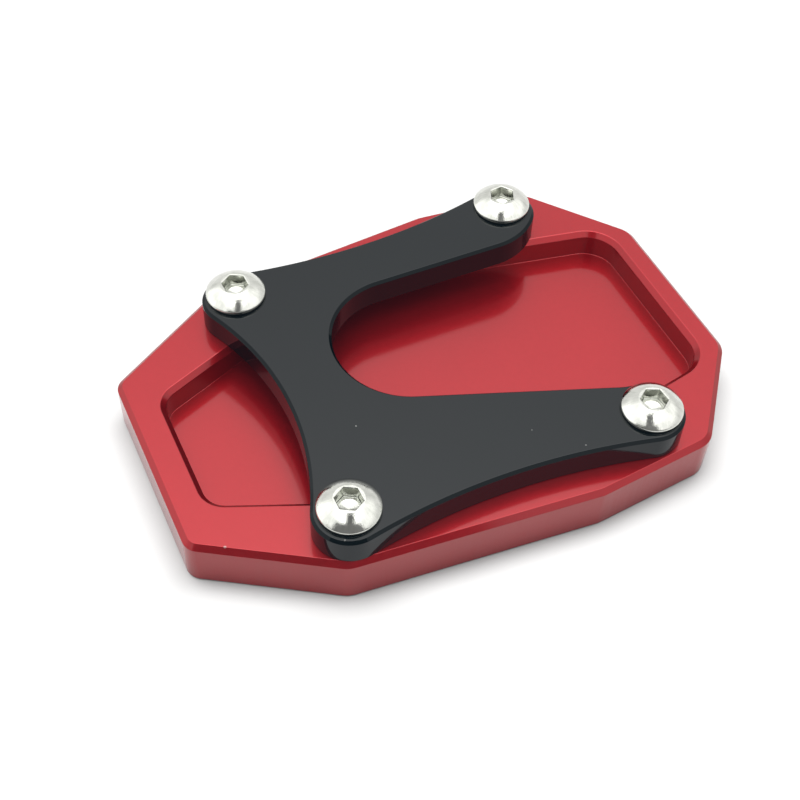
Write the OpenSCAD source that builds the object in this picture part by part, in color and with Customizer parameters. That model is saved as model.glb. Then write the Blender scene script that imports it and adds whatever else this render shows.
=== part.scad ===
// Foot enlarger for a motorbike side stand.
// A milled base plate with a shallow pocket takes the foot of the stand. A clamp plate with
// a U-shaped cutout lies on the rim of the pocket and holds the foot down, and four
// button-head screws pull the two plates together.
// Millimetres. +X is the long axis, with the open end of the U towards +X, and +Z is up.
// The origin is the centre of the underside of the base plate, which lies on the ground.

/* [Base plate] */
// Length along X
base_l = 100; // [90:1:130]
// Width across the widest point
base_w = 70.2; // [66:0.2:90]
// Thickness
base_h = 9; // [8:0.5:14]
// Chamfer round the top edge and round the mouth of the pocket
base_chamfer = 0.9; // [0.4:0.1:1.2]
// Small break of the edge round the underside
base_break = 0.3; // [0.1:0.1:0.8]
// Width of the straight edge at the -X end
tail_w = 35.8; // [28:0.2:40]
// Width of the straight edge at the +X end
nose_w = 31.8; // [26:0.2:38]
// Radius of the upright corners at the -X end
tail_r = 3; // [1.5:0.1:6]
// Radius of the upright corners along the two long sides
side_r = 4.8; // [1.5:0.1:7]
// Radius of the upright corners at the +X end
nose_r = 4.5; // [1.5:0.1:7]

/* [Pocket] */
// Depth of the pocket floor below the top of the base plate
pocket_depth = 5; // [3:0.5:6]
// Distance from the -X end of the base plate to the pocket wall
tail_rim = 6.1; // [5:0.1:12]
// Distance from the +X end of the base plate to the pocket wall
nose_rim = 4.9; // [4:0.1:12]
// Half of the pocket's width at its widest, under the clamp plate
pocket_half_w = 24; // [22:0.5:24.5]
// Corner radius at the -X end of the pocket
pocket_tail_r = 4; // [2:0.5:6]
// Corner radius at the +X end of the pocket
pocket_nose_r = 6; // [2:0.5:8]
// Fillet between wall and floor
pocket_fillet = 0.5; // [0.2:0.1:1]

/* [Clamp plate] */
// Thickness
clamp_h = 5; // [3:0.5:8]
// Chamfer round the top edge
clamp_chamfer = 0.5; // [0.2:0.1:1]
// Shift of the plate's outline towards -Y
clamp_shift = 0.6; // [0:0.1:0.6]
// Radius of the four rounded ears
ear_r = 6.05; // [5.8:0.05:6.5]
// Radius of the shallow hollows along the two long sides
side_hollow_r = 112.5; // [90:0.5:160]
// Radius of the hollow in the -X edge
tail_hollow_r = 51; // [48:0.5:80]
// Radius of the round end of the U
u_r = 13.2; // [10:0.1:14]
// Straight upper side of the U, above the long axis
u_top = 17.3; // [15:0.1:17.5]
// Slope of the lower side of the U
u_slope = 20.25; // [16:0.25:22]
// Distance of the lower side of the U from the origin
u_low = 10; // [8:0.1:10]
// Rounding of the upper arm's inner corner
arm_r = 12; // [9:0.5:12.5]

/* [Screws] */
// Screw centre in X, -X pair
screw_tail_x = -25.5; // [-25.8:0.1:-25.2]
// Screw centre above and below the long axis, -X pair
screw_tail_y = 24.6; // [24.4:0.1:24.8]
// Screw centre in X, +X pair
screw_nose_x = 27.5; // [27.2:0.1:27.7]
// Screw centre above and below the long axis, +X pair
screw_nose_y = 26.5; // [26.3:0.1:26.6]
// Thread size
screw_d = 6; // [5:1:6]
// Length below the head
screw_l = 12; // [10:1:13]
// Hole in the clamp plate
clearance_d = 6.6; // [6.2:0.1:7]
// Head diameter
head_d = 10.35; // [9.5:0.05:11]
// Head height
head_h = 2.7; // [2.4:0.1:3.3]
// Upright band at the foot of the head
head_band = 0.5; // [0.3:0.1:0.8]
// Flat on top of the head
head_flat_d = 5.9; // [5.2:0.1:6.4]
// Hex socket across flats
socket_af = 4; // [3:0.5:4]
// Hex socket depth
socket_depth = 2.2; // [1.6:0.1:2.3]

/* [Hidden] */
red_anodised = [0.75, 0.06, 0.09];
black_anodised = [0.07, 0.07, 0.08];
stainless = [0.80, 0.80, 0.78];
round_steps = 8;            // steps round a small corner
hollow_steps = 24;          // steps along a long shallow curve
top_z = base_h + clamp_h;   // top of the clamp plate

function unit(v) = v / norm(v);
function dir(a) = [cos(a), sin(a)];
function ang(v) = atan2(v.y, v.x);
function arc(c, r, a0, a1, n) = [for (i = [0 : n - 1]) c + r * dir(a0 + (a1 - a0) * i / n)];
function line(p, q, n) = [for (i = [0 : n - 1]) p + (q - p) * i / n];
// point where the lines n1.p = d1 and n2.p = d2 cross
function cross_pt(n1, d1, n2, d2) =
    [d1 * n2.y - d2 * n1.y, n1.x * d2 - n2.x * d1] / (n1.x * n2.y - n1.y * n2.x);

// Counter-clockwise convex outline v with corner radii r, moved in by c.
function rounded(v, r, c = 0) = [for (i = [0 : len(v) - 1])
    let (p = v[i],
         a = unit(v[(i + len(v) - 1) % len(v)] - p),
         b = unit(v[(i + 1) % len(v)] - p),
         half = acos(a * b) / 2,
         m = p + unit(a + b) * r[i] / sin(half),
         a0 = ang([a.y, -a.x]),
         turn = 180 - 2 * half)
    for (k = [0 : round_steps]) m + (r[i] - c) * dir(a0 - 180 + turn * k / round_steps)];

// Closed body through rings of equal length, from the bottom up.
module rings(rs) {
    n = len(rs[0]);
    polyhedron(
        points = [for (r = rs) for (p = r) p],
        faces = concat(
            [[for (i = [0 : n - 1]) i]],
            [for (k = [0 : len(rs) - 2]) for (i = [0 : n - 1])
                [k * n + i, (k + 1) * n + i, (k + 1) * n + (i + 1) % n, k * n + (i + 1) % n]],
            [[for (i = [n - 1 : -1 : 0]) (len(rs) - 1) * n + i]]));
}
function at_z(ps, z) = [for (p = ps) [p.x, p.y, z]];

// ---- base plate ----
bx = base_l / 2;
by = base_w / 2;
base_half = [[-bx, tail_w / 2], [-0.567 * bx, 0.891 * by], [0.294 * bx, by],
             [0.725 * bx, 0.940 * by], [bx, nose_w / 2]];
base_r_half = [tail_r, side_r, side_r, side_r, nose_r];
base_v = concat([for (p = base_half) [p.x, -p.y]], [for (i = [4 : -1 : 0]) base_half[i]]);
base_r = concat(base_r_half, [for (i = [4 : -1 : 0]) base_r_half[i]]);

// Pocket walls as [direction, distance] for the +Y half.
wall_tail = [180, bx - tail_rim];
wall_tail_side = [112.3, 27.3];
wall_mid = [90, pocket_half_w];
wall_nose_side = [79.2, 25.5];
wall_nose = [0, bx - nose_rim];
function meet(p, q) = cross_pt(dir(p[0]), p[1], dir(q[0]), q[1]);
pocket_half = [meet(wall_tail, wall_tail_side), meet(wall_tail_side, wall_mid),
               meet(wall_mid, wall_nose_side), meet(wall_nose_side, wall_nose)];
pocket_r_half = [pocket_tail_r, 3, 3, pocket_nose_r];
pocket_v = concat([for (p = pocket_half) [p.x, -p.y]], [for (i = [3 : -1 : 0]) pocket_half[i]]);
pocket_r = concat(pocket_r_half, [for (i = [3 : -1 : 0]) pocket_r_half[i]]);
pocket_z = base_h - pocket_depth;

screw_at = [[screw_tail_x, -screw_tail_y], [screw_nose_x, -screw_nose_y],
            [screw_nose_x, screw_nose_y], [screw_tail_x, screw_tail_y]];

module pocket() {
    rings(concat(
        [for (a = [0 : 30 : 90])
            at_z(rounded(pocket_v, pocket_r, pocket_fillet * (1 - sin(a))),
                 pocket_z + pocket_fillet * (1 - cos(a)))],
        [at_z(rounded(pocket_v, pocket_r, 0), base_h - base_chamfer),
         at_z(rounded(pocket_v, pocket_r, -base_chamfer - 1), base_h + 1)]));
}

module base_plate() {
    color(red_anodised)
    difference() {
        rings([at_z(rounded(base_v, base_r, base_break), 0),
               at_z(rounded(base_v, base_r, 0), base_break),
               at_z(rounded(base_v, base_r, 0), base_h - base_chamfer),
               at_z(rounded(base_v, base_r, base_chamfer), base_h)]);
        pocket();
        for (p = screw_at)
            translate([p.x, p.y, -1]) cylinder(d = screw_d, h = base_h + 2, $fn = 64);
    }
}

// ---- clamp plate ----
// The outline is two paths from the tip of the lower ear at the +X end to the tip of the
// upper one: "out" runs round the outside and "inn" round the U. Both are made of arcs and
// lines that touch, so moving them in by c only changes the radii.
ear_ll = [-25.6, -24.35 - clamp_shift];
ear_lr = [27, -26 - clamp_shift];
ear_ur = [27, 26 - clamp_shift];
ear_ul = [-25.6, 24.35 - clamp_shift];
function hollow(p, q, r) =   // centre of a hollow that touches the ears at p and q, on the left of p to q
    let (d = q - p, m = (p + q) / 2, n = unit([-d.y, d.x]))
    m + n * sqrt(pow(r + ear_r, 2) - pow(norm(d) / 2, 2));
c_low = hollow(ear_lr, ear_ll, side_hollow_r);
c_tail = hollow(ear_ll, ear_ul, tail_hollow_r);
c_up = hollow(ear_ul, ear_ur, side_hollow_r);
u_n = dir(-90 - u_slope);                                // normal of the lower side of the U
u_c = [(u_low - u_r - u_n.y * (u_top - u_r)) / u_n.x, u_top - u_r];
arm_c = [ear_ur.x - sqrt(pow(arm_r - ear_r, 2) - pow(ear_ur.y - u_top - arm_r, 2)), u_top + arm_r];
web_r = 10;                                              // small hollow between the lower side of the U and the ear
web_d = u_low - web_r;                                   // its centre lies on u_n.p = web_d
web_s = u_n * ear_lr - web_d;
web_c = ear_lr - u_n * web_s + dir(-u_slope + 180) * sqrt(pow(ear_r + web_r, 2) - web_s * web_s);

function out_path(c) = concat(
    arc(ear_lr, ear_r - c, 0, ang(c_low - ear_lr), round_steps),
    arc(c_low, side_hollow_r + c, ang(ear_lr - c_low), ang(ear_ll - c_low), hollow_steps),
    arc(ear_ll, ear_r - c, ang(c_low - ear_ll), ang(c_tail - ear_ll) - 360, round_steps),
    arc(c_tail, tail_hollow_r + c, ang(ear_ll - c_tail), ang(ear_ul - c_tail), hollow_steps),
    arc(ear_ul, ear_r - c, ang(c_tail - ear_ul), ang(c_up - ear_ul) - 360, round_steps),
    arc(c_up, side_hollow_r + c, ang(ear_ul - c_up), ang(ear_ur - c_up), hollow_steps),
    arc(ear_ur, ear_r - c, ang(c_up - ear_ur), 0, round_steps),
    [ear_ur + [ear_r - c, 0]]);
function inn_path(c) = concat(
    arc(ear_lr, ear_r - c, 0, ang(web_c - ear_lr), round_steps),
    arc(web_c, web_r + c, ang(ear_lr - web_c), -90 - u_slope, 4),
    line(web_c + u_n * (web_r + c), u_c + u_n * (u_r + c), hollow_steps - 4),
    arc(u_c, u_r + c, -90 - u_slope, -270, 2 * round_steps + hollow_steps),
    line(u_c + [0, u_r + c], [arm_c.x, u_top + c], hollow_steps),
    arc(arm_c, arm_r - c, -90, ang(ear_ur - arm_c), round_steps / 2),
    arc(ear_ur, ear_r - c, ang(ear_ur - arm_c), 0, round_steps / 2),
    [ear_ur + [ear_r - c, 0]]);

module clamp_body() {
    o = out_path(0);
    i = inn_path(0);
    oc = out_path(clamp_chamfer);
    ic = inn_path(clamp_chamfer);
    n = len(o) - 1;
    z0 = base_h;
    z1 = top_z - clamp_chamfer;
    // six points a station; the first and last stations are tips with three
    pts = concat(
        [[o[0].x, o[0].y, z0], [o[0].x, o[0].y, z1], [oc[0].x, oc[0].y, top_z]],
        [for (k = [1 : n - 1]) each [
            [o[k].x, o[k].y, z0], [o[k].x, o[k].y, z1], [oc[k].x, oc[k].y, top_z],
            [ic[k].x, ic[k].y, top_z], [i[k].x, i[k].y, z1], [i[k].x, i[k].y, z0]]],
        [[o[n].x, o[n].y, z0], [o[n].x, o[n].y, z1], [oc[n].x, oc[n].y, top_z]]);
    tip = [0, 1, 2, 2, 1, 0];
    function id(k, j) = k == 0 ? tip[j] : k == n ? 3 + (n - 1) * 6 + tip[j] : 3 + (k - 1) * 6 + j;
    function tidy(f) = [for (k = [0 : len(f) - 1]) if (f[k] != f[(k + 1) % len(f)]) f[k]];
    polyhedron(points = pts, faces = [for (k = [0 : n - 1]) for (j = [0 : 5])
        tidy([id(k, j), id(k + 1, j), id(k + 1, (j + 1) % 6), id(k, (j + 1) % 6)])]);
}

module clamp_plate() {
    color(black_anodised)
    difference() {
        clamp_body();
        for (p = screw_at)
            translate([p.x, p.y, base_h - 1]) cylinder(d = clearance_d, h = clamp_h + 2, $fn = 64);
    }
}

// ---- screws ----
head_r = head_d / 2;
flat_r = head_flat_d / 2;
dome_z = (head_r * head_r - flat_r * flat_r + head_band * head_band - head_h * head_h)
         / (2 * (head_band - head_h));               // centre of the dome
dome_r = norm([head_r, head_band - dome_z]);
shank_r = screw_d / 2 - 0.05;                        // free of the tapped hole; the thread itself is not drawn

module one_screw() {
    difference() {
        union() {
            intersection() {
                cylinder(r = head_r, h = head_h, $fn = 64);
                translate([0, 0, dome_z]) sphere(r = dome_r, $fn = 96);
            }
            translate([0, 0, 0.6 - screw_l]) cylinder(r = shank_r, h = screw_l, $fn = 64);
            translate([0, 0, -screw_l]) cylinder(r1 = shank_r - 0.6, r2 = shank_r, h = 0.6, $fn = 64);
        }
        translate([0, 0, head_h - socket_depth])
            cylinder(d = socket_af / cos(30), h = socket_depth + 1, $fn = 6);
        translate([0, 0, head_h - socket_depth - 0.5])
            cylinder(r1 = 0.3, r2 = socket_af / 2 - 0.15, h = 0.51, $fn = 48);
    }
}

socket_turn = [30, 35, 7, 32];                       // how far each socket is turned
module clamp_screws() {
    color(stainless)
    for (i = [0 : 3])
        translate([screw_at[i].x, screw_at[i].y, top_z]) rotate(socket_turn[i]) one_screw();
}

base_plate();
clamp_plate();
clamp_screws();
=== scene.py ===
import bpy, math
import numpy as np
from mathutils import Matrix, Vector
from mathutils.geometry import delaunay_2d_cdt


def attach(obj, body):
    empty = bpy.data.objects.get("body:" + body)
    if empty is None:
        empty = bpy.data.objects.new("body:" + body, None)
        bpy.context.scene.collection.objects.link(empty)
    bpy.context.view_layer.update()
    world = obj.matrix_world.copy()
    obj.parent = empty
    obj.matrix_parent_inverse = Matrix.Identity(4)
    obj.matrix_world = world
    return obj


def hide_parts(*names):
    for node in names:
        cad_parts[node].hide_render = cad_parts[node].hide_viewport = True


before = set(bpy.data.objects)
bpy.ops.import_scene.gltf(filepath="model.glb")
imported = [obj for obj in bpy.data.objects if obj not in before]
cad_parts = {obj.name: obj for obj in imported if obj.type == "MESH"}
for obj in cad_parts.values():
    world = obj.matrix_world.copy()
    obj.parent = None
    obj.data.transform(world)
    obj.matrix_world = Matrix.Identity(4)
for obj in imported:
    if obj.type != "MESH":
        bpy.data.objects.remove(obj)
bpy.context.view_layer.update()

MM = 0.001
scene = bpy.context.scene


# ------------------------------------------------------------------ outlines (mm, same frame as the CAD)
def dr(a):
    return np.array([math.cos(math.radians(a)), math.sin(math.radians(a))])


def ang(v):
    return math.degrees(math.atan2(v[1], v[0]))


def unit(v):
    v = np.asarray(v, float)
    return v / np.linalg.norm(v)


def cross_pt(n1, d1, n2, d2):
    return np.array([d1 * n2[1] - d2 * n1[1], n1[0] * d2 - n2[0] * d1]) / (n1[0] * n2[1] - n1[1] * n2[0])


class Outline:
    """Closed counter-clockwise outline whose stations keep their place when it is moved outwards by o."""

    def __init__(self):
        self.c, self.r, self.n = [], [], []   # centre, signed radius, outward normal

    def arc(self, c, r, a0, a1, n, hollow=False):
        # solid corner: point = c + (r + o) * dir; hollow: point = c + (r - o) * dir, normal towards c
        for i in range(n + 1):
            d = dr(a0 + (a1 - a0) * i / n)
            self.c.append(np.asarray(c, float))
            if hollow:
                self.r.append(-r)
                self.n.append(-d)
            else:
                self.r.append(r)
                self.n.append(d)

    def done(self):
        self.c, self.r, self.n = np.array(self.c), np.array(self.r), np.array(self.n)
        keep = [0]
        p = self.at(0)
        for i in range(1, len(p)):
            if np.linalg.norm(p[i] - p[keep[-1]]) > 1e-4:
                keep.append(i)
        if np.linalg.norm(p[keep[-1]] - p[0]) < 1e-4:
            keep.pop()
        self.c, self.r, self.n = self.c[keep], self.r[keep], self.n[keep]
        return self

    def at(self, o):
        # with a hollow the stored radius is negative and its normal points to the centre,
        # so c + n * (r + o) covers both cases
        return self.c + self.n * (self.r + o)[:, None]


def rounded(v, radii, n=10):
    out = Outline()
    k = len(v)
    for i in range(k):
        p = np.array(v[i], float)
        a, b = unit(np.array(v[i - 1]) - p), unit(np.array(v[(i + 1) % k]) - p)
        half = math.acos(float(a @ b)) / 2
        m = p + unit(a + b) * radii[i] / math.sin(half)
        a0 = ang((a[1], -a[0])) - 180
        out.arc(m, radii[i], a0, a0 + 180 - 2 * math.degrees(half), n)
    return out.done()


def mirrored(half, radii):
    return [(x, -y) for x, y in half] + list(half)[::-1], list(radii) + list(radii)[::-1]


BX, BY, BH = 50.0, 35.1, 9.0
POCKET_Z, CLAMP_H = 4.0, 5.0
TOP_Z = BH + CLAMP_H
base_half = [(-BX, 17.9), (-0.567 * BX, 0.891 * BY), (0.294 * BX, BY), (0.725 * BX, 0.940 * BY), (BX, 15.9)]
base_outline = rounded(*mirrored(base_half, [3.0, 4.8, 4.8, 4.8, 4.5]))

walls = [(180, 43.9), (112.3, 27.3), (90, 24.0), (79.2, 25.5), (0, 45.1)]
pocket_half = [tuple(cross_pt(dr(p[0]), p[1], dr(q[0]), q[1])) for p, q in zip(walls, walls[1:])]
pocket_outline = rounded(*mirrored(pocket_half, [4.0, 3.0, 3.0, 6.0]), n=14)

SCREWS = {"LL": (-25.5, -24.6), "LR": (27.5, -26.5), "UR": (27.5, 26.5), "UL": (-25.5, 24.6)}


def clamp_outline_():
    s, re, side, tail = 0.6, 6.05, 112.5, 51.0
    ur_, ut, us, ul_, ar, wr = 13.2, 17.3, 20.25, 10.0, 12.0, 10.0
    ll, lr = np.array([-25.6, -24.35 - s]), np.array([27, -26 - s])
    ur, ul = np.array([27, 26 - s]), np.array([-25.6, 24.35 - s])

    def hol(p, q, r):
        d = q - p
        n = unit((-d[1], d[0]))
        return (p + q) / 2 + n * math.sqrt((r + re) ** 2 - (np.linalg.norm(d) / 2) ** 2)

    cl, ct, cu = hol(lr, ll, side), hol(ll, ul, tail), hol(ul, ur, side)
    un = dr(-90 - us)
    uc = np.array([(ul_ - ur_ - un[1] * (ut - ur_)) / un[0], ut - ur_])
    ac = np.array([ur[0] - math.sqrt((ar - re) ** 2 - (ur[1] - ut - ar) ** 2), ut + ar])
    wd = ul_ - wr
    ws = float(un @ lr) - wd
    wc = lr - un * ws + dr(180 - us) * math.sqrt((re + wr) ** 2 - ws * ws)
    o = Outline()
    # counter-clockwise: lower ear at the -X end, near side, lower ear at the +X end, U, upper ears, back
    o.arc(ll, re, ang(ct - ll) - 360, ang(cl - ll), 24)
    o.arc(cl, side, ang(ll - cl), ang(lr - cl), 72, hollow=True)
    o.arc(lr, re, ang(cl - lr), ang(wc - lr), 28)
    o.arc(wc, wr, ang(lr - wc), -90 - us, 10, hollow=True)
    o.arc(uc, ur_, -90 - us, -270, 72, hollow=True)
    o.arc(ac, ar, -90, ang(ur - ac), 18)
    o.arc(ur, re, ang(ur - ac), ang(cu - ur), 28)
    o.arc(cu, side, ang(ur - cu), ang(ul - cu), 72, hollow=True)
    o.arc(ul, re, ang(cu - ul), ang(ct - ul) + 360, 24)
    o.arc(ct, tail, ang(ul - ct), ang(ll - ct), 60, hollow=True)
    return o.done()


clamp_outline = clamp_outline_()


# ------------------------------------------------------------------ mesh building
class Builder:
    def __init__(self):
        self.v, self.n, self.f = [], [], []

    def ring(self, pts, nrm):
        i0 = len(self.v)
        self.v += [tuple(p) for p in pts]
        self.n += [tuple(q) for q in nrm]
        return list(range(i0, i0 + len(pts)))

    def bridge(self, a, b, flip=False):
        k = len(a)
        for i in range(k):
            j = (i + 1) % k
            q = (a[i], a[j], b[j], b[i])
            self.f.append(q[::-1] if flip else q)

    def fan(self, a, centre, nrm, flip=False):
        i0 = len(self.v)
        self.v.append(tuple(centre))
        self.n.append(tuple(nrm))
        for i in range(len(a)):
            t = (a[i], a[(i + 1) % len(a)], i0)
            self.f.append(t[::-1] if flip else t)

    def cap(self, outer, holes=(), up=True):
        """Fills the flat area between one outer ring and the rings inside it."""
        loops = [outer] + list(holes)
        ids = [i for lp in loops for i in lp]
        pts = [Vector(self.v[i][:2]) for i in ids]
        edges, k = [], 0
        for lp in loops:
            edges += [(k + i, k + (i + 1) % len(lp)) for i in range(len(lp))]
            k += len(lp)
        co, _, fc, orig, _, _ = delaunay_2d_cdt(pts, edges, [], 0, 1e-7)
        polys = [np.array([self.v[i][:2] for i in lp]) for lp in loops]

        def inside(p, poly):
            x, y = poly[:, 0], poly[:, 1]
            x2, y2 = np.roll(x, -1), np.roll(y, -1)
            c = (y > p[1]) != (y2 > p[1])
            with np.errstate(divide="ignore", invalid="ignore"):
                t = (x2 - x) * (p[1] - y) / (y2 - y) + x
            return bool(np.sum(c & (p[0] < t)) % 2)

        for t in fc:
            c = sum((np.array(co[i]) for i in t), np.zeros(2)) / len(t)
            if inside(c, polys[0]) and not any(inside(c, q) for q in polys[1:]):
                g = [ids[orig[i][0]] for i in t]
                a, b, d = (np.array(self.v[i][:2]) for i in g[:3])
                ccw = (b[0] - a[0]) * (d[1] - a[1]) - (b[1] - a[1]) * (d[0] - a[0]) > 0
                self.f.append(tuple(g) if ccw == up else tuple(g[::-1]))

    def make(self, name, mat, axis=None):
        me = bpy.data.meshes.new(name)
        me.from_pydata([tuple(c * MM for c in p) for p in self.v], [], self.f)
        me.validate(clean_customdata=False)
        me.polygons.foreach_set("use_smooth", [True] * len(me.polygons))
        nn = np.array(self.n, float)
        nn /= np.linalg.norm(nn, axis=1)[:, None]
        me.normals_split_custom_set_from_vertices([tuple(x) for x in nn])
        me.update()
        if axis is not None:
            # direction round the screw's axis, for the streaks of its forged and turned head
            co = np.array(self.v)
            d = co[:, :2] - np.array(axis)
            r = np.maximum(np.linalg.norm(d, axis=1), 1e-6)
            at = me.attributes.new("round_axis", "FLOAT_VECTOR", "POINT")
            at.data.foreach_set("vector", np.stack([d[:, 0] / r, d[:, 1] / r, r * 0.06 + axis[0]], 1).ravel())
            wall = (r < 2.6) & (r > 1.7) & (co[:, 2] < TOP_Z + HEAD_H - 0.1) & (co[:, 2] > TOP_Z)
            at = me.attributes.new("socket", "FLOAT", "POINT")
            at.data.foreach_set("value", wall.astype(float))
        ob = bpy.data.objects.new(name, me)
        scene.collection.objects.link(ob)
        me.materials.append(mat)
        return ob


def profile(pts, radii, seg=4):
    """Rounds the inner corners of an open path in (outward offset, z). Gives (o, z, normal o, normal z);
    the normal is to the right of the direction of travel."""
    out = []
    P = [np.array(p, float) for p in pts]
    for i in range(1, len(P) - 1):
        a, b = unit(P[i] - P[i - 1]), unit(P[i + 1] - P[i])
        turn = math.atan2(a[0] * b[1] - a[1] * b[0], float(a @ b))
        r = radii[i - 1]
        t = r * math.tan(abs(turn) / 2)
        s = P[i] - a * t
        na = np.array([a[1], -a[0]])            # right-hand normal of the incoming leg
        sgn = 1 if turn > 0 else -1              # left turn: the arc's centre is on the left
        c = s - na * r * sgn
        for k in range(seg + 1):
            w = turn * k / seg
            R = np.array([[math.cos(w), -math.sin(w)], [math.sin(w), math.cos(w)]])
            nn = R @ na
            q = c + nn * r * sgn
            out.append((q[0], q[1], nn[0], nn[1]))
    return out


def loft(b, outline, prof, flip=False, sign=1.0):
    rings = []
    for o, z, no, nz in prof:
        p = outline.at(o)
        rings.append(b.ring([(x, y, z) for x, y in p],
                            [(sign * no * nx, sign * no * ny, sign * nz) for nx, ny in outline.n]))
    for r0, r1 in zip(rings, rings[1:]):
        b.bridge(r0, r1, flip)
    return rings


def thread_r(theta, z, root, crest, pitch=1.0):
    """Radius of a right-hand 60 degree thread with a narrow flat crest and a rounded root."""
    s = (z / pitch - theta / (2 * np.pi)) % 1.0
    t = np.abs(s - 0.5) * 2                     # 0 at the crest, 1 at the root
    t = np.clip((t - 0.14) / 0.66, 0, 1)
    return crest - (crest - root) * (t * t * (3 - 2 * t) * 0.35 + t * 0.65)


def thread_rings(b, cx, cy, z0, z1, fn, steps, nseg, inward):
    """Rows of a threaded surface from z0 to z1; fn(theta, z) gives the radius."""
    th = np.linspace(0, 2 * np.pi, nseg, endpoint=False)
    rows, e = [], 1e-3
    for z in np.linspace(z0, z1, steps + 1):
        r = fn(th, z)
        dz = (fn(th, z + e) - fn(th, z - e)) / (2 * e)
        dt = (fn(th + e, z) - fn(th - e, z)) / (2 * e) / r
        c, s = np.cos(th), np.sin(th)
        n = np.stack([c + dt * s, s - dt * c, -dz], 1)
        n /= np.linalg.norm(n, axis=1)[:, None]
        if inward:
            n = -n
        rows.append(b.ring(np.stack([cx + r * c, cy + r * s, np.full(nseg, z)], 1), n))
    for r0, r1 in zip(rows, rows[1:]):
        b.bridge(r0, r1, flip=inward)
    return rows


def flat_ring(b, cx, cy, r, z, nseg, nz):
    th = np.linspace(0, 2 * np.pi, nseg, endpoint=False)
    return b.ring(np.stack([cx + r * np.cos(th), cy + r * np.sin(th), np.full(nseg, z)], 1),
                  [(0, 0, nz)] * nseg)


# ------------------------------------------------------------------ materials
def nodes_of(name):
    m = bpy.data.materials.new(name)
    m.use_nodes = True
    nt = m.node_tree
    for n in list(nt.nodes):
        nt.nodes.remove(n)
    out = nt.nodes.new("ShaderNodeOutputMaterial")
    bs = nt.nodes.new("ShaderNodeBsdfPrincipled")
    nt.links.new(bs.outputs["BSDF"], out.inputs["Surface"])
    return m, nt, bs


def N(nt, kind, ins=None, **props):
    n = nt.nodes.new(kind)
    for k, v in props.items():
        setattr(n, k, v)
    for k, v in (ins or {}).items():
        if hasattr(v, "outputs") or hasattr(v, "is_linked"):
            nt.links.new(v if hasattr(v, "is_linked") else v.outputs[0], n.inputs[k])
        else:
            n.inputs[k].default_value = v
    return n


def link(nt, a, b):
    nt.links.new(a, b)


def obj_coords(nt, scale=1000.0):
    """Object coordinates in millimetres."""
    tc = nt.nodes.new("ShaderNodeTexCoord")
    mp = nt.nodes.new("ShaderNodeVectorMath")
    mp.operation = "SCALE"
    mp.inputs["Scale"].default_value = scale
    link(nt, tc.outputs["Object"], mp.inputs[0])
    return mp.outputs[0]


def ramp(nt, fac, stops, interp="LINEAR"):
    r = nt.nodes.new("ShaderNodeValToRGB")
    r.color_ramp.interpolation = interp
    e = r.color_ramp.elements
    while len(e) < len(stops):
        e.new(0.5)
    for el, (pos, col) in zip(e, stops):
        el.position = pos
        el.color = (*col, 1) if len(col) == 3 else col
    link(nt, fac, r.inputs["Fac"])
    return r.outputs["Color"]


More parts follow.
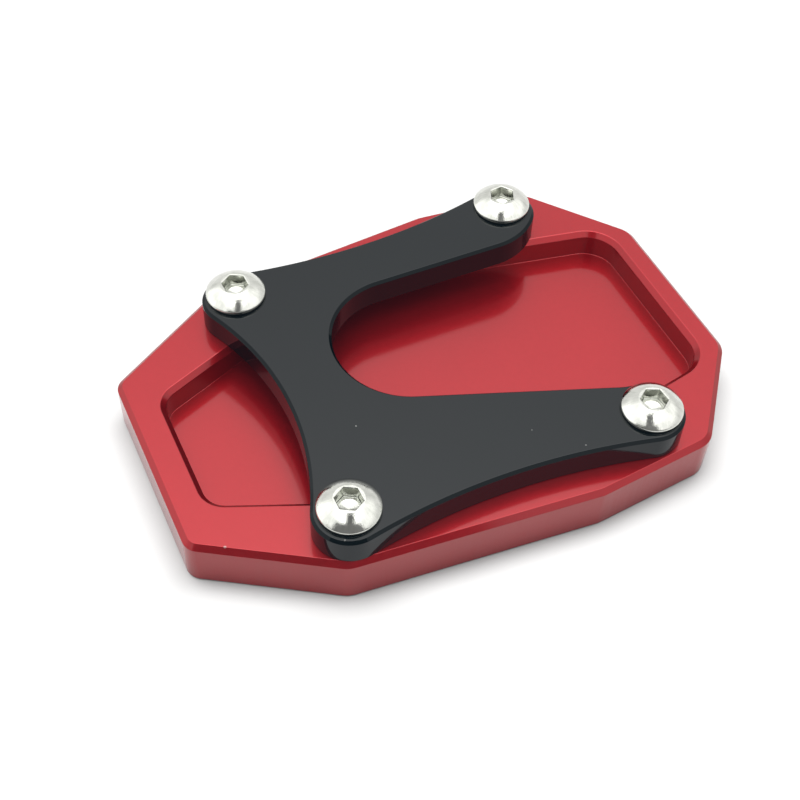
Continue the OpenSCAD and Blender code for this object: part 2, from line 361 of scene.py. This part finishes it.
def anodised(name, dark, light, rough, coat_rough, grain, metallic=1.0, ior=1.5, coat=1.0, level=0.0, tint=(1, 1, 1),
             specks_and_glints=(), dust_and_glint_colour=(0.5, 0.5, 0.48), walls=(1.0, 1.0), bevels=(1.0, 1.0)):
    m, nt, bs = nodes_of(name)
    co = obj_coords(nt)
    big = N(nt, "ShaderNodeTexNoise", {"Vector": co, "Scale": 0.05, "Detail": 3.0, "Roughness": 0.55})
    fine = N(nt, "ShaderNodeTexNoise", {"Vector": co, "Scale": 3.2, "Detail": 4.0, "Roughness": 0.7})
    mixf = N(nt, "ShaderNodeMath", {0: big.outputs["Fac"], 1: 0.8}, operation="MULTIPLY")
    mixg = N(nt, "ShaderNodeMath", {0: fine.outputs["Fac"], 1: 0.2, 2: mixf.outputs[0]}, operation="MULTIPLY_ADD")
    # cutter marks: fine streaks that run up the walls, a faint mottle on the flats
    flatten = N(nt, "ShaderNodeVectorMath", {0: co, 1: (1.0, 1.0, 0.05)}, operation="MULTIPLY")
    cut = N(nt, "ShaderNodeTexNoise", {"Vector": flatten, "Scale": 1.1, "Detail": 3.0, "Roughness": 0.6})
    mixc = N(nt, "ShaderNodeMath", {0: cut.outputs["Fac"], 1: 0.35}, operation="MULTIPLY")
    mixc = N(nt, "ShaderNodeMath", {0: mixg.outputs[0], 1: 0.65, 2: mixc.outputs[0]}, operation="MULTIPLY_ADD")
    base = ramp(nt, mixc.outputs[0], [(0.34, dark), (0.66, light)])
    # a few specks: random ones of dust, and listed ones at fixed places, which are dust, a nick, and one painted
    # highlight (a glint) on a bevel of the black clamp
    cell = N(nt, "ShaderNodeTexVoronoi", {"Vector": co, "Scale": 0.22})
    near = N(nt, "ShaderNodeMapRange", {"Value": cell.outputs["Distance"], "From Min": 0.012, "From Max": 0.022, "To Min": 0.55, "To Max": 0.0})
    pick = N(nt, "ShaderNodeSeparateColor", {0: cell.outputs["Color"]})
    rare = N(nt, "ShaderNodeMath", {0: pick.outputs[0], 1: 0.86}, operation="GREATER_THAN")
    spot = N(nt, "ShaderNodeMath", {0: near.outputs[0], 1: rare.outputs[0]}, operation="MULTIPLY").outputs[0]
    for q, rad, amount in specks_and_glints:
        d = N(nt, "ShaderNodeVectorMath", {0: co, 1: q}, operation="DISTANCE")
        one = N(nt, "ShaderNodeMapRange", {"Value": d.outputs["Value"], "From Min": rad * 0.5, "From Max": rad,
                                           "To Min": amount, "To Max": 0.0})
        spot = N(nt, "ShaderNodeMath", {0: spot, 1: one.outputs[0]}, operation="MAXIMUM").outputs[0]
    dust_and_glint_mix = N(nt, "ShaderNodeMix", {0: spot, 7: (*dust_and_glint_colour, 1)}, data_type="RGBA")
    # the milled walls and bevels, told apart from the blasted faces by the slope of the true normal, get two factors
    # (colour, shine): the colour factor darkens them as painted shade, the shine factor sets their own coat weight
    geo = nt.nodes.new("ShaderNodeNewGeometry")
    slope = N(nt, "ShaderNodeSeparateXYZ", {0: geo.outputs["True Normal"]})
    on_wall = N(nt, "ShaderNodeMath", {0: slope.outputs["Z"], 1: 0.0, 2: 0.35}, operation="COMPARE")
    on_bevel = N(nt, "ShaderNodeMath", {0: slope.outputs["Z"], 1: 0.707, 2: 0.17}, operation="COMPARE")

    def by_place(k, full):
        a = N(nt, "ShaderNodeMath", {0: on_wall.outputs[0], 1: full * (walls[k] - 1.0), 2: full}, operation="MULTIPLY_ADD")
        return N(nt, "ShaderNodeMath", {0: on_bevel.outputs[0], 1: full * (bevels[k] - 1.0), 2: a.outputs[0]},
                 operation="MULTIPLY_ADD").outputs[0]

    # painted shade: the base colour is scaled down on walls and bevels by the first factor of walls and bevels
    base = N(nt, "ShaderNodeVectorMath", {0: base, 3: by_place(0, 1.0)}, operation="SCALE").outputs[0]
    link(nt, base, dust_and_glint_mix.inputs[6])
    link(nt, dust_and_glint_mix.outputs[2], bs.inputs["Base Color"])
    bs.inputs["Metallic"].default_value = metallic
    bs.inputs["Specular IOR Level"].default_value = level
    bs.inputs["Specular Tint"].default_value = (*tint, 1)
    wob = N(nt, "ShaderNodeMath", {0: fine.outputs["Fac"], 1: cut.outputs["Fac"]}, operation="ADD")
    rr = N(nt, "ShaderNodeMapRange", {"Value": wob.outputs[0], "From Min": 0.6, "From Max": 1.4,
                                      "To Min": rough * 0.88, "To Max": rough * 1.12})
    rough_wall = N(nt, "ShaderNodeMath", {0: on_wall.outputs[0], 1: 0.35, 2: 1.0}, operation="MULTIPLY_ADD")
    link(nt, N(nt, "ShaderNodeMath", {0: rr.outputs[0], 1: rough_wall.outputs[0]}, operation="MULTIPLY").outputs[0],
         bs.inputs["Roughness"])
    bs.inputs["Coat Weight"].default_value = coat
    link(nt, by_place(1, coat), bs.inputs["Coat Weight"])
    bs.inputs["Coat Roughness"].default_value = coat_rough
    bs.inputs["Coat IOR"].default_value = ior
    # bead-blasted grain under the anodised layer
    g = N(nt, "ShaderNodeTexNoise", {"Vector": co, "Scale": 9.0, "Detail": 2.0, "Roughness": 0.6})
    bump = N(nt, "ShaderNodeBump", {"Height": g.outputs["Fac"], "Strength": grain, "Distance": 0.00002})
    link(nt, bump.outputs[0], bs.inputs["Normal"])
    return m


def stainless_mat():
    m, nt, bs = nodes_of("stainless_polished")
    co = obj_coords(nt)
    at = N(nt, "ShaderNodeAttribute", attribute_name="round_axis")
    big = N(nt, "ShaderNodeTexNoise", {"Vector": co, "Scale": 0.55, "Detail": 3.0})
    ray = N(nt, "ShaderNodeTexNoise", {"Vector": at.outputs["Vector"], "Scale": 7.5, "Detail": 4.0, "Roughness": 0.7})
    fac = N(nt, "ShaderNodeMath", {0: big.outputs["Fac"], 1: 0.5}, operation="MULTIPLY")
    fac = N(nt, "ShaderNodeMath", {0: ray.outputs["Fac"], 1: 0.5, 2: fac.outputs[0]}, operation="MULTIPLY_ADD")
    base = ramp(nt, fac.outputs[0], [(0.36, (0.53, 0.54, 0.495)), (0.56, (0.66, 0.665, 0.62))])
    # the broached socket's walls, down inside the head's recess, get a darker colour
    soc = N(nt, "ShaderNodeAttribute", attribute_name="socket")
    socket_darker = N(nt, "ShaderNodeMix", {7: (0.86, 0.87, 0.86, 1)}, data_type="RGBA", blend_type="MULTIPLY")
    link(nt, soc.outputs["Fac"], socket_darker.inputs[0])
    link(nt, base, socket_darker.inputs[6])
    link(nt, socket_darker.outputs[2], bs.inputs["Base Color"])
    bs.inputs["Metallic"].default_value = 1.0
    fine = N(nt, "ShaderNodeTexNoise", {"Vector": co, "Scale": 5.0, "Detail": 3.0, "Roughness": 0.65})
    mixr = N(nt, "ShaderNodeMath", {0: fine.outputs["Fac"], 1: ray.outputs["Fac"]}, operation="ADD")
    rr = N(nt, "ShaderNodeMapRange", {"Value": mixr.outputs[0], "From Min": 0.75, "From Max": 1.25,
                                      "To Min": 0.03, "To Max": 0.09})
    link(nt, rr.outputs[0], bs.inputs["Roughness"])
    hsum = N(nt, "ShaderNodeMath", {0: ray.outputs["Fac"], 1: 1.6, 2: fine.outputs["Fac"]}, operation="MULTIPLY_ADD")
    bump = N(nt, "ShaderNodeBump", {"Height": hsum.outputs[0], "Strength": 0.55, "Distance": 0.00002})
    link(nt, bump.outputs[0], bs.inputs["Normal"])
    return m


# red base: walls=(0.73, ...) and bevels=(0.76, ...) darken its base colour there as painted shade; the listed speck is
# a nick in its front-left chamfer
red_mat = anodised("red_anodised", (0.346, 0.0072, 0.0122), (0.378, 0.0086, 0.0142), 0.35, 0.12, 0.03, metallic=0.81, ior=1.5,
                   walls=(0.73, 1.0), bevels=(0.76, 0.60),
                   specks_and_glints=[((-44.38, -20.31, 9.0), 0.28, 0.45)],
                   tint=(0.6, 0.05, 0.06))
# black clamp: the last listed speck, on the bevel of the lower-left ear, is a painted highlight (a glint); the other
# three are dust
black_mat = anodised("black_anodised", (0.0003, 0.0020, 0.0026), (0.0006, 0.0028, 0.0034), 0.35, 0.07, 0.03, metallic=0.0, ior=1.45, walls=(1.0, 0.62), bevels=(1.0, 0.32),
                     specks_and_glints=[((-18.10, -10.35, 14.0), 0.16, 0.38), ((7.47, -22.42, 14.0), 0.15, 0.18), ((13.94, -28.57, 14.0), 0.15, 0.30),
                             ((-28.35, -29.59, 13.75), 0.30, 0.9)])
steel_mat = stainless_mat()


# ------------------------------------------------------------------ base plate
NT = 64          # segments round a hole or a screw


def base_plate():
    b = Builder()
    outer = loft(b, base_outline, profile(
        [(-3, 0), (-0.3, 0), (0, 0.3), (0, BH - 0.9), (-0.9, BH), (-3, BH)], [0.12, 0.12, 0.10, 0.12]))
    pocket = loft(b, pocket_outline, profile(
        [(-3, POCKET_Z), (0, POCKET_Z), (0, BH - 0.9), (0.9, BH), (3, BH)], [0.12, 0.30, 0.30], seg=6), sign=-1.0, flip=True)
    top_holes, low_holes = [], []
    for cx, cy in SCREWS.values():
        def fn(th, z):
            r = thread_r(th, z, 2.50, 3.00)
            cs = 3.30 - np.minimum(z - 0.02, BH - 0.02 - z) * 1.0     # countersunk mouths
            return np.maximum(r, cs)
        rows = thread_rings(b, cx, cy, 0.02, BH - 0.02, fn, 108, NT, inward=True)
        lo_, hi_ = flat_ring(b, cx, cy, 3.33, 0.0, NT, -1), flat_ring(b, cx, cy, 3.33, BH, NT, 1)
        b.bridge(lo_, rows[0], flip=True)
        b.bridge(rows[-1], hi_, flip=True)
        low_holes.append(lo_)
        top_holes.append(hi_)
    b.cap(outer[-1], [pocket[-1]] + top_holes, up=True)
    b.cap(outer[0], low_holes, up=False)
    b.cap(pocket[0], up=True)
    return b.make("base_plate_red", red_mat)


def clamp_plate():
    b = Builder()
    rings = loft(b, clamp_outline, profile(
        [(-3, BH), (-0.15, BH), (0, BH + 0.15), (0, TOP_Z - 0.5), (-0.5, TOP_Z), (-3, TOP_Z)], [0.06, 0.06, 0.08, 0.09]))
    up, low = [], []
    for cx, cy in SCREWS.values():
        hp = [(3.45, BH, 0, -1), (3.3, BH + 0.15, -0.7, -0.7), (3.3, BH + 0.2, -1, 0),
              (3.3, TOP_Z - 0.2, -1, 0), (3.3, TOP_Z - 0.15, -0.7, 0.7), (3.45, TOP_Z, 0, 1)]
        th = np.linspace(0, 2 * np.pi, NT, endpoint=False)
        rr = []
        for r, z, nr, nz in hp:
            rr.append(b.ring(np.stack([cx + r * np.cos(th), cy + r * np.sin(th), np.full(NT, z)], 1),
                             np.stack([nr * np.cos(th), nr * np.sin(th), np.full(NT, nz)], 1)))
        for r0, r1 in zip(rr, rr[1:]):
            b.bridge(r0, r1, flip=True)
        low.append(rr[0])
        up.append(rr[-1])
    b.cap(rings[-1], up, up=True)
    b.cap(rings[0], low, up=False)
    return b.make("clamp_plate_black", black_mat)


HEAD_R, FLAT_R, RIM, HEAD_H = 5.175, 2.56, 0.55, 2.7


def dome_radius():
    # sphere that passes the flat's rim and touches the rounded lower rim
    lo, hi = HEAD_R, 3 * HEAD_R
    for _ in range(60):
        q = (lo + hi) / 2
        c = math.sqrt(max(q * q - (HEAD_R - RIM) ** 2, 0))
        if math.hypot(FLAT_R, HEAD_H - RIM + c) > q + RIM:
            hi = q
        else:
            lo = q
    return q + RIM


DOME = dome_radius()
RIM_A = math.asin((HEAD_R - RIM) / (DOME - RIM))
AF, SOCKET = 4.0, 2.4


def screw(name, cx, cy, turn):
    b = Builder()
    th = np.linspace(0, 2 * np.pi, NT, endpoint=False)
    c_, s_ = np.cos(th), np.sin(th)

    def lathe(path):
        rr = []
        for r, z, nr, nz in path:
            rr.append(b.ring(np.stack([cx + r * c_, cy + r * s_, np.full(NT, TOP_Z + z)], 1),
                             np.stack([nr * c_, nr * s_, np.full(NT, nz)], 1)))
        for r0, r1 in zip(rr, rr[1:]):
            b.bridge(r0, r1)
        return rr

    # rounded lower rim, then the dome, tangent to it, up to the rim of the flat
    path = [(3.3, 0, 0, -1)]
    for k in range(0, 15):
        a = math.pi + (RIM_A - math.pi) * k / 14
        path.append((HEAD_R - RIM + RIM * math.sin(a), RIM + RIM * math.cos(a), math.sin(a), math.cos(a)))
    a1 = math.asin((FLAT_R + 0.06) / DOME)
    zc = RIM - (DOME - RIM) * math.cos(RIM_A)
    rs = DOME
    for k in range(1, 19):
        a = RIM_A + (a1 - RIM_A) * k / 18
        path.append((rs * math.sin(a), zc + rs * math.cos(a), math.sin(a), math.cos(a)))
    # soft shoulder up to the flat
    for k in range(1, 6):
        t = k / 5
        a = a1 * (1 - t)
        r = FLAT_R + 0.06 - 0.12 * t
        z0 = zc + rs * math.cos(a1)
        z = z0 + (HEAD_H - z0) * (1 - (1 - t) ** 2)
        path.append((r, z, math.sin(a), math.cos(a)))
    rings = lathe(path)
    # hexagon with small rounded corners
    hexv = [tuple(np.array([cx, cy]) + AF / 2 / math.cos(math.pi / 6) * dr(turn + 60 * i)) for i in range(6)]
    hexo = rounded(hexv, [0.18] * 6, n=4)
    # path from the socket's floor up its walls to the top: normal points to the axis and up
    wall = profile([(-0.9, HEAD_H - SOCKET), (0, HEAD_H - SOCKET), (0, HEAD_H - 0.12), (0.12, HEAD_H), (0.6, HEAD_H)],
                   [0.12, 0.08, 0.10], seg=4)
    hr = loft(b, hexo, [(o, TOP_Z + z, no, nz) for o, z, no, nz in wall], flip=True, sign=-1.0)
    b.cap(rings[-1], [hr[-1]], up=True)
    fl = flat_ring(b, cx, cy, 1.62, TOP_Z + HEAD_H - SOCKET, 48, 1)
    b.cap(hr[0], [fl], up=True)
    rr = [fl]
    for r, z, nr, nz in [(1.55, -0.03, -0.35, 0.94), (0.4, -0.28, -0.20, 0.98)]:
        t2 = np.linspace(0, 2 * np.pi, 48, endpoint=False)
        rr.append(b.ring(np.stack([cx + r * np.cos(t2), cy + r * np.sin(t2), np.full(48, TOP_Z + HEAD_H - SOCKET + z)], 1),
                         np.stack([nr * np.cos(t2), nr * np.sin(t2), np.full(48, nz)], 1)))
    for r0, r1 in zip(rr, rr[1:]):
        b.bridge(r0, r1, flip=False)
    b.fan(rr[-1], (cx, cy, TOP_Z + HEAD_H - SOCKET - 0.33), (0, 0, 1))
    # shank
    def fn(t, z):
        r = thread_r(t, z, 2.45, 2.95)
        neck = 2.47 + np.clip((13.2 - z) * 2.0, 0, 3)              # thread runs out under the head
        tip = 2.30 + (z - 2.0) * 1.0                               # chamfered tip
        return np.minimum(np.minimum(r, neck), tip)
    tip = flat_ring(b, cx, cy, 2.2, 2.0, NT, -1)
    b.cap(tip, up=False)
    rows = thread_rings(b, cx, cy, 2.0, 13.65, fn, 138, NT, inward=False)
    b.bridge(tip, rows[0])
    neck = lathe([(2.47, -0.3, 1, 0), (2.50, -0.12, 0.95, -0.3), (2.75, 0.0, 0.3, -0.95)])
    b.bridge(rows[-1], neck[0])
    b.bridge(neck[-1], rings[0])
    return b


pieces = []
p = base_plate(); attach(p, "root"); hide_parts("base_plate"); pieces.append(p)
p = clamp_plate(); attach(p, "root"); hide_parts("clamp_plate"); pieces.append(p)
for key, turn in (("LL", 30.0), ("LR", 35.0), ("UR", 7.0), ("UL", 32.0)):
    cx, cy = SCREWS[key]
    p = screw("screw_" + key, cx, cy, turn).make("button_screw_" + key, steel_mat, axis=(cx, cy))
    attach(p, "root"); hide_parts("clamp_screws"); pieces.append(p)


# ------------------------------------------------------------------ camera
EL, ROLL, PHI, F = math.radians(50.7033), math.radians(-2.5820), math.radians(26.9017), 1328.97
C = Vector((-71.457, -130.680, 181.693)) * MM


def cad(v):
    x, y, z = v
    return Vector((x * math.cos(PHI) + y * math.sin(PHI), -x * math.sin(PHI) + y * math.cos(PHI), z))


fwd = cad((0, math.cos(EL), -math.sin(EL)))
right = cad((1, 0, 0))
down = fwd.cross(right)
r2 = right * math.cos(ROLL) + down * math.sin(ROLL)
d2 = -right * math.sin(ROLL) + down * math.cos(ROLL)
cam_data = bpy.data.cameras.new("camera")
cam = bpy.data.objects.new("camera", cam_data)
scene.collection.objects.link(cam)
rot = Matrix((r2, -d2, -fwd)).transposed()
cam.matrix_world = Matrix.Translation(C) @ rot.to_4x4()
cam_data.sensor_width = 36.0
cam_data.lens = F * 36.0 / 800.0
cam_data.clip_start, cam_data.clip_end = 0.01, 20.0
scene.camera = cam

# ------------------------------------------------------------------ floor, surroundings, light
me = bpy.data.meshes.new("floor")
k, R = 48, 2.5
me.from_pydata([(R * math.cos(2 * math.pi * i / k), R * math.sin(2 * math.pi * i / k), 0) for i in range(k)], [], [tuple(range(k))])
floor = bpy.data.objects.new("floor", me)
scene.collection.objects.link(floor)
fm, nt, bs = nodes_of("pale_paper")
co = obj_coords(nt)
nz = N(nt, "ShaderNodeTexNoise", {"Vector": co, "Scale": 0.02, "Detail": 4.0})
link(nt, ramp(nt, nz.outputs["Fac"], [(0.3, (0.195, 0.195, 0.194)), (0.7, (0.205, 0.205, 0.204))]), bs.inputs["Base Color"])
bs.inputs["Roughness"].default_value = 0.75
bs.inputs["Specular IOR Level"].default_value = 0.2
me.materials.append(fm)

# dark shapes on the camera's side, only seen in the reflections of polished parts
def card(name, quads, place, shade):
    hm, nt, bs = nodes_of(name)
    bs.inputs["Base Color"].default_value = (shade, shade, shade, 1)
    bs.inputs["Roughness"].default_value = 0.9
    me = bpy.data.meshes.new(name)
    vs, fs = [], []
    for quad in quads:
        i = len(vs)
        vs += [tuple(c * MM for c in q) for q in quad]
        fs.append(tuple(range(i, i + len(quad))))
    me.from_pydata(vs, [], fs)
    me.materials.append(hm)
    ob = bpy.data.objects.new(name, me)
    ob.matrix_world = place
    scene.collection.objects.link(ob)
    ob.visible_camera = ob.visible_diffuse = ob.visible_shadow = False
    return ob


behind = cam.matrix_world.copy()
card("card_stand", [[(-32, -210, 40), (68, -210, 40), (68, 108, 40), (-32, 96, 40)]], behind, 0.20)
card("card_bar", [[(-36, 100, 40), (136, 123, 40), (136, 141, 40), (-36, 118, 40)]], behind, 0.04)
near_y = -120.0
card("card_low", [[tuple(cad((x, near_y, h))) for x, h in ((-98, 1), (140, 1), (140, 55), (88, 66), (70, 112), (38, 114),
                                                          (12, 106), (-34, 104), (-98, 122))]],
     Matrix.Identity(4), 0.20)

# two soft overhead lights that only fall on the floor, so that the shadow on it stays tight
lit = bpy.data.collections.new("lit_by_floor_lights")
lit.objects.link(floor)
for name, turn, power in (("floor_light_L", 66, 6.2), ("floor_light_R", -34, 5.6)):
    sun_data = bpy.data.lights.new(name, "SUN")
    sun_data.energy, sun_data.angle = power, math.radians(32)
    sun = bpy.data.objects.new(name, sun_data)
    scene.collection.objects.link(sun)
    el, az = math.radians(73), math.radians(turn)
    sun.rotation_euler = cad((-math.cos(el) * math.sin(az), math.cos(el) * math.cos(az), math.sin(el))).to_track_quat("Z", "Y").to_euler()
    sun.light_linking.receiver_collection = lit

w = bpy.data.worlds.new("studio")
scene.world = w
w.use_nodes = True
nt = w.node_tree
for n in list(nt.nodes):
    nt.nodes.remove(n)
out = nt.nodes.new("ShaderNodeOutputWorld")
bg = nt.nodes.new("ShaderNodeBackground")
link(nt, bg.outputs[0], out.inputs["Surface"])
tc = nt.nodes.new("ShaderNodeTexCoord")
sky = tc.outputs["Generated"]
sep = N(nt, "ShaderNodeSeparateXYZ", {0: sky})
z = sep.outputs["Z"]
tilt = math.radians(8)
up = N(nt, "ShaderNodeVectorMath", {0: sky, 1: tuple(cad((0, math.sin(tilt), math.cos(tilt))))}, operation="DOT_PRODUCT")
flat = N(nt, "ShaderNodeCombineXYZ", {0: sep.outputs["X"], 1: sep.outputs["Y"]})
norm = N(nt, "ShaderNodeVectorMath", {0: flat}, operation="NORMALIZE")
side = N(nt, "ShaderNodeVectorMath", {0: norm, 1: tuple(cad((0, -1, 0)))}, operation="DOT_PRODUCT")   # 1 towards the camera


def step(v, a, b, lo=0.0, hi=1.0):
    return N(nt, "ShaderNodeMapRange", {"Value": v, "From Min": a, "From Max": b, "To Min": lo, "To Max": hi},
             interpolation_type="SMOOTHSTEP").outputs[0]


def blend(f, a, b):
    n = N(nt, "ShaderNodeMix", {0: f, 2: a, 3: b}, data_type="FLOAT")
    return n.outputs[0]


def grey(v, stops):
    top = max(q for _, q in stops)
    n = N(nt, "ShaderNodeMath", {0: ramp(nt, v, [(p, (q / top,) * 3) for p, q in stops]), 1: top}, operation="MULTIPLY")
    return n.outputs[0]


# bright overhead diffusers: dimmer towards the back, brighter at the sides and towards the camera
back = grey(up.outputs["Value"], [(0.0, 1.0), (0.66, 1.0), (0.783, 1.05), (0.848, 1.38), (0.891, 1.65), (0.93, 2.1), (0.97, 2.7), (1.0, 3.2)])
lit_left = N(nt, "ShaderNodeVectorMath", {0: norm, 1: tuple(cad((-0.9986, 0.052, 0)))}, operation="DOT_PRODUCT")
flank = blend(step(lit_left.outputs["Value"], 0.82, 0.90), step(z, 0.17, 0.52, 1.0, 1.6), 1.7)
front = step(z, 0.25, 0.45, 1.0, 1.5)
front = blend(step(z, 0.68, 0.86), front, 2.7)
sides = blend(step(side.outputs["Value"], 0.1, 0.7), flank, front)
sides = blend(step(z, 0.80, 0.98), sides, 3.2)
w_back = step(side.outputs["Value"], -0.85, -0.45, 1.0, 0.0)
light = blend(w_back, sides, back)
# the darker end of the room, behind the camera
room = grey(side.outputs["Value"], [(0.0, 1.0), (0.25, 1.0), (0.5, 0.65), (0.6, 0.42), (0.7, 0.28), (0.9, 0.2), (1.0, 0.12)])
dim = blend(step(z, 0.20, 0.40, 1.0, 0.0), 1.0, room)
tot = N(nt, "ShaderNodeMath", {0: light, 1: dim}, operation="MULTIPLY")
link(nt, tot.outputs[0], bg.inputs["Strength"])
bg.inputs["Color"].default_value = (1.0, 1.0, 0.995, 1)

scene.view_settings.view_transform = "Standard"
scene.view_settings.look = "None"
scene.view_settings.exposure = 0.0
scene.view_settings.gamma = 1.0
# the lens haze that lifts the photograph's deepest shadows a little
scene.view_settings.use_curve_mapping = True
scene.view_settings.curve_mapping.black_level = (-0.003, -0.004, -0.006)
scene.view_settings.curve_mapping.update()
